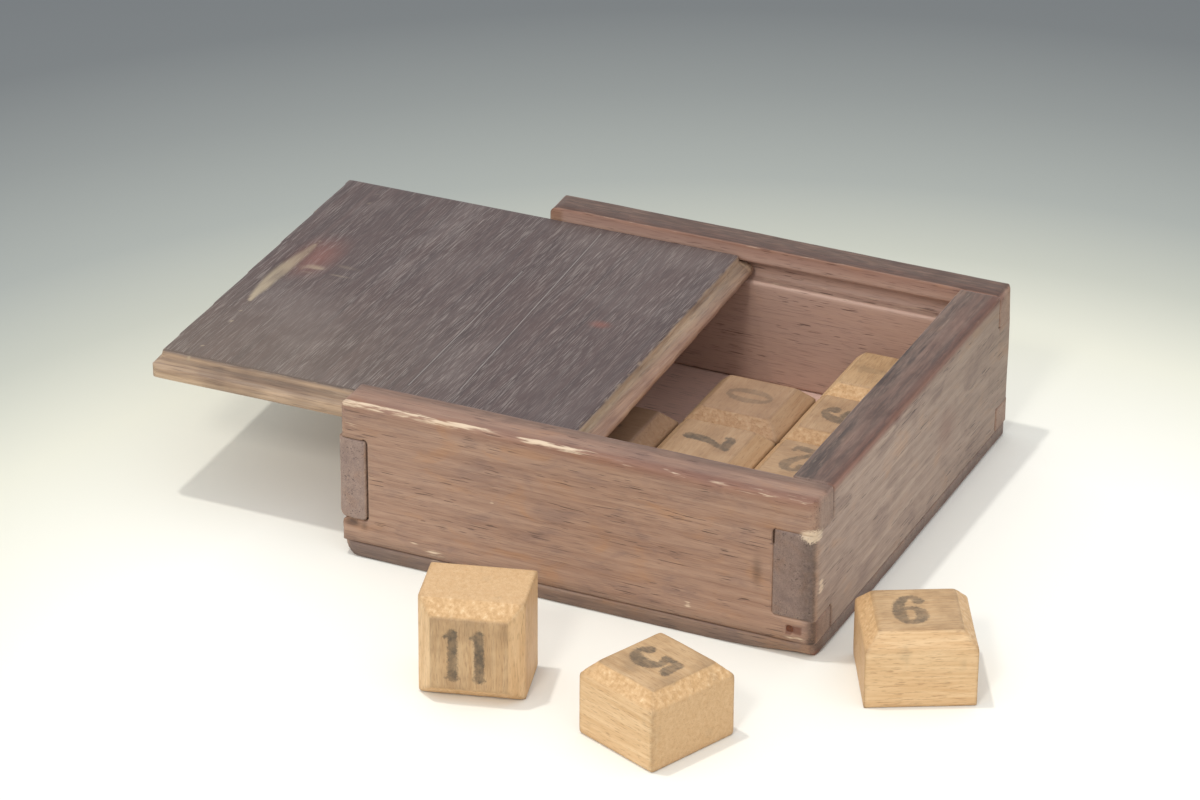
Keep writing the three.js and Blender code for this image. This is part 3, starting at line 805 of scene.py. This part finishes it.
def wear_fixed_end(wall, values):
    """The darkest top of all, ridged along its grain, with a red-brown outer arris; its outer face
    is darkened with painted shade towards the back.
    """
    co = wall.co
    inner = 1 - ramp(co[:, 0] + 0.6 * noise(co, 5, 91), 55.0, 57.0)
    ridges = noise(co, (0.9, 16, 5), 93)
    values["grime"] += on_top(wall, TOP_Z) * (0.15 * inner + 0.66 + 0.22 * ridges)
    values["red"] += on_top(wall, TOP_Z) * (0.6 - 0.25 * inner)
    # Painted shade: the outer face grows darker towards the back.
    values["grime"] += 0.3 * ramp(co[:, 1], -50, 60) * ramp(wall.normal[:, 0], 0.4, 0.8)
    values["wear"] += 0.12 * on_top(wall, TOP_Z) * inner
    values["wear"] += wear_line(co, OUT_RIGHT, TOP, 0.8, 0.2)
    values["red"] += wear_line(co, OUT_RIGHT, TOP, 2.6, 0.8)
    post = ramp(-wall.normal[:, 1], 0.3, 0.7) * (1 - ramp(co[:, 1], -61, -59))
    values["grime"] += post * (0.24 + 0.35 * ramp(co[:, 0], 57, 61))
    values["red"] += 0.5 * spot(co, (62.3, 20, 22), (3, 9, 8))
    for centre, radius, strength in CHIPS:
        values["wear"] += strength * spot(co, centre, radius)


def wear_open_end(wall, values):
    """Rubbed where the lid slides over it."""
    co = wall.co
    values["wear"] += wear_line(co, OUT_LEFT, OPEN_TOP, 1.2, 0.4)
    values["grime"] += 0.3 * ramp(wall.normal[:, 2], 0.6, 0.9)


def wear_board(wall, values):
    """A grimy edge that shows cut fibres, greyest towards the left."""
    co = wall.co
    rim = np.minimum(depth_below(co, OUT_FRONT), depth_below(co, OUT_RIGHT))
    edge = 1 - ramp(rim, 0.3, 1.2)
    values["grime"] += edge * (0.42 - 0.22 * ramp(co[:, 2], 1.6, 3.4))
    values["red"] += wear_line(co, OUT_RIGHT, FOOT, 2.2, 0.9)
    left = 1 - ramp(co[:, 0], -42, -32)
    values["cut_end"] = np.maximum(values["cut_end"], edge * (0.35 + 0.6 * left))
    values["wear"] += 0.6 * spot(co, (-36.5, -64, 3.8), (4.0, 2, 0.8))


# Chips to bare wood: (centre, radius, strength), in mm.
CHIPS = [
    ((-41.9, -64, 7.2), (2.4, 2, 0.9), 0.7),
    ((-36.5, -64, 5.8), (4.2, 2, 1.1), 0.9),
    ((-58.5, -64, 36.0), (2.8, 2, 1.4), 0.45),
    ((-21, -64, 23.5), (1.0, 2, 0.8), 0.8),
    ((61.0, -63.3, 32.9), (4.6, 6.0, 3.0), 1.5),
    ((62.3, -60.3, 18.6), (3, 2.4, 3.6), 1.1),
    ((57.5, -64, 5.4), (5.0, 2, 1.0), 0.8),
    ((30.0, -64, 8.0), (1.5, 2, 2.2), 0.7),
]
WALL_GRID = 0.5


def low_left(co):
    """The box has worn round at its low left corner, most of all at the front."""
    return 1.5 + 4.5 * (1 - ramp(co[:, 1], -60, -45))


def low_front(co):
    """The long low arris is sharp in the middle and worn towards the right corner."""
    return 0.7 + 2.6 * ramp(co[:, 0], 35, 62)


def low_finger(co):
    """The low left finger's upper arris is broken away."""
    return 1.4 * (1 - ramp(co[:, 0], -56.5, -54.5))


# The front wall's left fingers are worn 0.9 mm short; the last two faces meet inside that corner.
FINGER_END = (0, -61.4, -1)
FINGER_TOP = (2, 10.35, 1)
TENON_FOOT = (2, 10.5, -1)

front = Workpiece("front_wall", WALL_GRID)
front.co[:, 0] = np.maximum(front.co[:, 0], FINGER_END[1])
front_arrises = [
    (OUT_FRONT, OUT_RIGHT, 3.0),
    (OUT_FRONT, FINGER_END, 1.5),
    (OUT_FRONT, TOP, 1.4),
    (IN_FRONT, TOP, 0.8),
    (FINGER_END, TOP, 2.2),
    (OUT_RIGHT, TOP, 1.6),
    (FINGER_END, FOOT, low_left),
    (FINGER_END, FINGER_TOP, 2.4),
    (OUT_FRONT, FINGER_TOP, low_finger),
]
broken = 1.1 * spot(front.co, (-58.6, -64, 9.6), (3.2, 2.5, 1.2))
broken += 0.3 * (in_nail_slot(front.co, 2.0, 0.9) & (front.co[:, 1] < -63))
front.sink(broken, (0, 1, 0))
finish_wall(
    front, "front_wall_wood", "side_wall_wood", wall_wood, "x", (0, 0, 0), 1, front_arrises, wear_front
)

back = Workpiece("back_wall", WALL_GRID)
back_arrises = [
    (OUT_BACK, OUT_RIGHT, 2.0),
    (OUT_BACK, OUT_LEFT, 1.7),
    (OUT_BACK, TOP, 1.1),
    (IN_BACK, TOP, 0.8),
    (OUT_LEFT, TOP, 2.8),
    (IN_BACK, OUT_LEFT, 1.6),
    (OUT_RIGHT, TOP, 1.6),
]
finish_wall(
    back, "back_wall_wood", "side_wall_wood", wall_wood, "x", (210, 40, 0), 2, back_arrises, wear_back
)

fixed_end = Workpiece("fixed_end_wall", WALL_GRID)
fixed_arrises = [
    (OUT_FRONT, OUT_RIGHT, 3.0),
    (OUT_BACK, OUT_RIGHT, 2.0),
    (OUT_RIGHT, TOP, 1.2),
    (IN_RIGHT, TOP, 0.6),
]
finish_wall(
    fixed_end,
    "fixed_end_wall_wood",
    "end_wall_wood",
    end_wood,
    "y",
    (90, 0, 50),
    3,
    fixed_arrises,
    wear_fixed_end,
)

open_end = Workpiece("open_end_wall", WALL_GRID)
open_arrises = [
    (OUT_FRONT, OUT_LEFT, 2.0),
    (OUT_BACK, OUT_LEFT, 1.7),
    (OUT_LEFT, TENON_FOOT, 3.0),
    (OUT_LEFT, OPEN_TOP, 1.0),
    (IN_LEFT, OPEN_TOP, 0.7),
]
finish_wall(
    open_end,
    "open_end_wall_wood",
    "end_wall_wood",
    end_wood,
    "y",
    (-300, 0, 90),
    4,
    open_arrises,
    wear_open_end,
)

board = Workpiece("bottom_board", 0.7)
board_arrises = [
    (OUT_FRONT, OUT_RIGHT, 5.0),
    (OUT_FRONT, OUT_LEFT, 4.5),
    (OUT_BACK, OUT_RIGHT, 3.0),
    (OUT_BACK, OUT_LEFT, 3.0),
    (OUT_FRONT, FOOT, low_front),
    (OUT_RIGHT, FOOT, 1.2),
    (OUT_LEFT, FOOT, low_left),
    (OUT_BACK, FOOT, 1.0),
]
finish_wall(
    board, "bottom_board_wood", "bottom_wood", board_wood, "x", (500, 0, 0), 5, board_arrises, wear_board
)

# The lid's knife scores, each from one place to another in mm.
SCORES = [((-52.2, -45.4), (-54.3, 23.6)), ((-39.8, -42.5), (-45.3, 51.5))]
LID_TOP = 39.2
LID_DROOP = 0.4
LID_PIVOT = (-SIDE_X, 35.0)


def score_distance(points):
    """The distance to the nearer knife score, with its sign kept steady between the two."""
    nearest = np.full(len(points), 9.0)
    for way_round, (start, end) in zip((-1, 1), SCORES):
        start, end = np.array(start), np.array(end)
        way = (end - start) / np.linalg.norm(end - start)
        off = points - start
        along = off @ way
        side = way_round * (off[:, 0] * way[1] - off[:, 1] * way[0])
        past = np.maximum(-along, along - np.linalg.norm(end - start))
        side = np.where(past > 0, np.maximum(np.abs(side), 9.0), side)
        nearest = np.where(np.abs(side) < np.abs(nearest), side, nearest)
    return nearest


def make_lid():
    """The sliding panel: grey on top, brown on its bevel, ledges and tongues. It droops in its groove."""
    lid = Workpiece("lid", 0.6)
    lid.ease(3)
    lid.ease(8, 1 - ramp(lid.co[:, 2], 36.6, 37.2))
    for side, edge in ((-1, lid.low[1]), (1, lid.high[1])):
        at_corner = side * (edge - lid.co[:, 1]) < 4
        free_end = (0, lid.co[at_corner, 0].min(), -1)
        lid.round_over(free_end, (1, edge, side), 3.2)
    lid.sink(0.06 + 0.06 * noise(lid.co, (25, 40, 20), 21))
    lid.refresh()
    co = lid.co
    out = lid.exposure()
    beside_groove = np.minimum(co[:, 1] - lid.low[1], lid.high[1] - co[:, 1])
    bare = 1 - ramp(co[:, 2], LID_TOP - 0.9, LID_TOP - 0.3)
    scoop = spot(co, (-109.5, -2, LID_TOP), (9, 24, 6))
    bare *= 1 - ramp(scoop, 0.05, 0.3)
    nose = ramp(co[:, 0], -7, -4) * bare
    lid.paint("bare", bare)
    lid.paint("wear", np.clip(out, 0, 1) * 0.5 * (1 - ramp(scoop, 0.02, 0.2)))
    # Painted shade darkens the inside corners, and the ledges are darkened too.
    in_corner = np.clip(-out, 0, 1)
    on_ledge = ramp(lid.normal[:, 2], 0.5, 0.8) * bare
    lid.paint("grime", np.clip(0.35 * in_corner + 0.25 * on_ledge, 0, 1))
    red = 0.9 * spot(co, (-23.8, 3.7, LID_TOP), (4, 3, 4)) + 0.8 * spot(co, (-2, -9, LID_TOP - 1), (3, 4, 4))
    red += 0.8 * spot(co, (-105.5, 9, LID_TOP), (9, 17, 5)) + 0.6 * nose * ramp(-co[:, 2], -37.0, -36.0)
    lid.paint("red", np.clip(red, 0, 1))
    # The finger hollow's low side has been rubbed pale from end to end, and torn strips run off it.
    bow = co[:, 0] - (-109.0 - 1.6 * np.cos((co[:, 1] + 2) / 12))
    tapered = 1.9 * np.sqrt(np.clip(1 - ((co[:, 1] + 2) / 18.5) ** 2, 0, 1))
    low_side = 1 - ramp(np.abs(bow), tapered * 0.35, tapered + 0.05)
    low_side *= 0.35 + 0.65 * ramp(noise(co, (1.2, 12, 4), 33), -0.6, 0.3)
    low_side *= 1 - 0.5 * ramp(co[:, 1], 0, 13)
    strips = ramp(noise(co, (9, 0.9, 4), 34), 0.15, 0.55) * spot(co, (-99, 3, LID_TOP), (12, 6, 5))
    pale = (low_side * 0.9 + 0.7 * strips) * ramp(co[:, 2], LID_TOP - 3, LID_TOP - 2)
    pale += 0.7 * nose * ramp(co[:, 2], 36.5, 37.3)
    # The top is painted paler towards the low front corner.
    pale += 0.16 * (1 - ramp(co[:, 1], -56, 10)) * (1 - ramp(co[:, 0], -90, -30)) * (1 - bare)
    lid.paint("pale", np.clip(pale, 0, 1))
    lid.paint("score", np.where(bare < 0.5, score_distance(co[:, :2]), 9.0))
    over = grain_coordinates(co, "y", (0, 700, 30))
    beside = grain_coordinates(co, "x", (0, 700, 30))
    lid.paint("grain", np.where((beside_groove < 4.3)[:, None], beside, over))
    droop = math.radians(LID_DROOP)
    x, z = co[:, 0] - LID_PIVOT[0], co[:, 2] - LID_PIVOT[1]
    co[:, 0] = LID_PIVOT[0] + x * math.cos(droop) - z * math.sin(droop)
    co[:, 2] = LID_PIVOT[1] + x * math.sin(droop) + z * math.cos(droop)
    lid.deliver("lid_wood", "lid", "lid_wood", lid_wood, slack=0.5)


make_lid()

# Block: (turn of the number in degrees, grain along, how black the print still is, dirt and painted shade,
# number's place)
BLOCKS = {
    1: (-90, "x", 0.3, 0.15, (0, 0)),
    2: (180, "x", 0.8, 0.45, (2.0, -0.5)),
    3: (90, "x", 0.8, 0.2, (0.6, 0)),
    # Block 4 is darkened most, with painted shade for the shadow it stands in.
    4: (0, "x", 0.8, 0.9, (0, 0.4)),
    5: (-22.8 - 90, "y", 1.0, 0.0, (0.2, -0.4)),
    6: (27.5, "x", 0.9, 0.0, (-1.6, -0.3)),
    7: (-90, "x", 0.95, 0.55, (0, 0.3)),
    8: (0, "y", 0.9, 0.1, (0, 0)),
    9: (-90, "x", 0.9, 0.45, (0, 0)),
    10: (-90, "x", 0.5, 0.75, (0, 0)),
    11: (15.2, "y", 1.0, 0.0, (-1.0, 0)),
    12: (0, "x", 0.7, 0.4, (0, 0)),
    13: (90, "x", 0.8, 0.1, (0, 0)),
    14: (-90, "y", 0.8, 0.3, (0, 0)),
    15: (180, "x", 0.8, 0.1, (0, 0)),
}
# How far the bevels drop; the blocks from the tray are all cut alike.
BEVEL_DROP = {5: 3.6, 6: 3.9, 11: 4.2}
TORN_ALL_ROUND = (5,)
TRAY_BEVEL_DROP = 3.95
SIDE_BLOCK = 11
SIDE_BLOCK_FACE = (-2.2, -115.55, 12.95)
SIDE_BLOCK_HEIGHT = 20.3


def block_place(number):
    """Where a block stands: its own frame has the number's face up and its foot at z 0."""
    turn = math.radians(BLOCKS[number][0])
    if number == SIDE_BLOCK:
        spin = Matrix.Rotation(turn, 4, "Z") @ Matrix.Rotation(math.radians(90), 4, "X")
        face = Vector(SIDE_BLOCK_FACE) * MM
        return Matrix.Translation(face) @ spin @ Matrix.Translation((0, 0, -SIDE_BLOCK_HEIGHT * MM))
    low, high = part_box(f"block_{number}")
    foot = ((low.x + high.x) / 2, (low.y + high.y) / 2, low.z)
    return Matrix.Translation(foot) @ Matrix.Rotation(turn, 4, "Z")


def make_block(number):
    """One bevelled block with its number on the face."""
    along, black, dirt, middle = BLOCKS[number][1:]
    block = Workpiece(f"block_{number}", 0.55, block_place(number))
    block.ease(2)
    z = block.co[:, 2]
    top = block.high[2]
    shoulder = top - BEVEL_DROP.get(number, TRAY_BEVEL_DROP)
    face = ramp(z, top - 0.5, top - 0.2)
    bevel = ramp(z, shoulder, shoulder + 0.5) * (1 - face)
    cut_end = ramp(np.abs(block.normal[:, GRAIN_AXIS[along]]), 0.35, 0.6)
    if number in TORN_ALL_ROUND:
        cut_end = np.maximum(cut_end, bevel)
    seed = 40 + number
    pits = np.clip(noise(block.co, 1.2, seed) - 0.1, 0, 1) * 0.14 * bevel * cut_end
    waves = 0.05 + 0.05 * noise(block.co, 9, seed + 20)
    block.sink(pits + waves)
    block.refresh()
    out = block.exposure(4)
    ink = number_distance(block.co[:, :2], STILL_PRINTED.get(number, str(number)), middle)
    ink = np.where(z > top - 1.2, ink, 9.0)
    block.sink(0.05 * ramp(-ink, -0.2, 0.3), (0, 0, -1))
    ragged = 0.5 + 0.5 * noise(block.co, 4, seed + 40)
    block.paint("grime", np.clip(np.clip(np.abs(out) * 1.1 - 0.35, 0, 1) * (0.3 + 0.5 * ragged), 0, 1))
    block.paint("bevel", bevel)
    block.paint("cut_end", cut_end)
    block.paint("face", face)
    block.paint("ink", ink)
    block.paint("print", np.full(len(z), black))
    block.paint("dirt", np.full(len(z), dirt))
    offset = (number * 61.7, number * 23.3, number * 37.9)
    block.paint("grain", grain_coordinates(block.co, along, offset))
    block.deliver(f"block_{number}_wood", f"block_{number}", "block_wood", block_wood)


for number in BLOCKS:
    make_block(number)

for node_name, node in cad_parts.items():
    if "nail" in node_name:
        node.data.materials.clear()
        node.data.materials.append(nail_iron)


# ---------------------------------------------------------------------------------------------------
# Floor, light and camera
# ---------------------------------------------------------------------------------------------------


def lay_floor():
    """A pale paper floor, wide enough for every view."""
    mesh = bpy.data.meshes.new("floor")
    reach = 6.0
    corners = [(-reach, -reach, 0), (reach, -reach, 0), (reach, reach, 0), (-reach, reach, 0)]
    mesh.from_pydata(corners, [], [(0, 1, 2, 3)])
    mesh.materials.append(sweep_paper("matt paper, floor"))
    floor = bpy.data.objects.new("floor", mesh)
    bpy.context.scene.collection.objects.link(floor)


def hang_lamp(name, at, aim, size, power, colour):
    """A soft square lamp pointed at a place; at and aim in metres."""
    lamp = bpy.data.lights.new(name, "AREA")
    lamp.shape = "SQUARE"
    lamp.size = size
    lamp.energy = power
    lamp.color = tone(colour)[:3]
    holder = bpy.data.objects.new(name, lamp)
    bpy.context.scene.collection.objects.link(holder)
    holder.location = at
    holder.rotation_euler = (Vector(aim) - Vector(at)).to_track_quat("-Z", "Y").to_euler()


def light_the_room():
    """One lamp high on the front left gives the short crisp shadows; the room's pale walls fill them."""
    world = bpy.data.worlds.new("room")
    world.use_nodes = True
    sky = world.node_tree.nodes["Background"]
    sky.inputs["Color"].default_value = tone("f2f4f8")
    sky.inputs["Strength"].default_value = 1.0
    bpy.context.scene.world = world
    hang_lamp("key lamp", (-0.36, -0.18, 1.75), (0, 0, 0), 0.07, 9.2, "fffdf8")
    hang_lamp("front fill", (0.1, -1.4, 1.2), (0, 0, 0.02), 0.25, 6.6, "fffaf2")


def set_camera():
    """A long lens three-quarter view from the front right."""
    azimuth, elevation, roll = (math.radians(a) for a in (24.504, 27.419, 0.294))
    back = Vector(
        (
            math.sin(azimuth) * math.cos(elevation),
            -math.cos(azimuth) * math.cos(elevation),
            math.sin(elevation),
        )
    )
    level = Vector((0, 0, 1)).cross(back).normalized()
    upright = back.cross(level)
    right = math.cos(roll) * level + math.sin(roll) * upright
    up = -math.sin(roll) * level + math.cos(roll) * upright
    eye = right * -0.01995 + up * 0.02167 + back * 1.28988 + Vector((0, 0, 0.001))
    data = bpy.data.cameras.new("camera")
    data.sensor_width = 36
    data.lens = 155.95
    data.clip_start = 0.05
    data.clip_end = 50
    camera = bpy.data.objects.new("camera", data)
    turn = Matrix((right, up, back)).transposed().to_4x4()
    camera.matrix_world = Matrix.Translation(eye) @ turn
    bpy.context.scene.collection.objects.link(camera)
    bpy.context.scene.camera = camera


lay_floor()
light_the_room()
set_camera()
bpy.context.scene.view_settings.view_transform = "Standard"
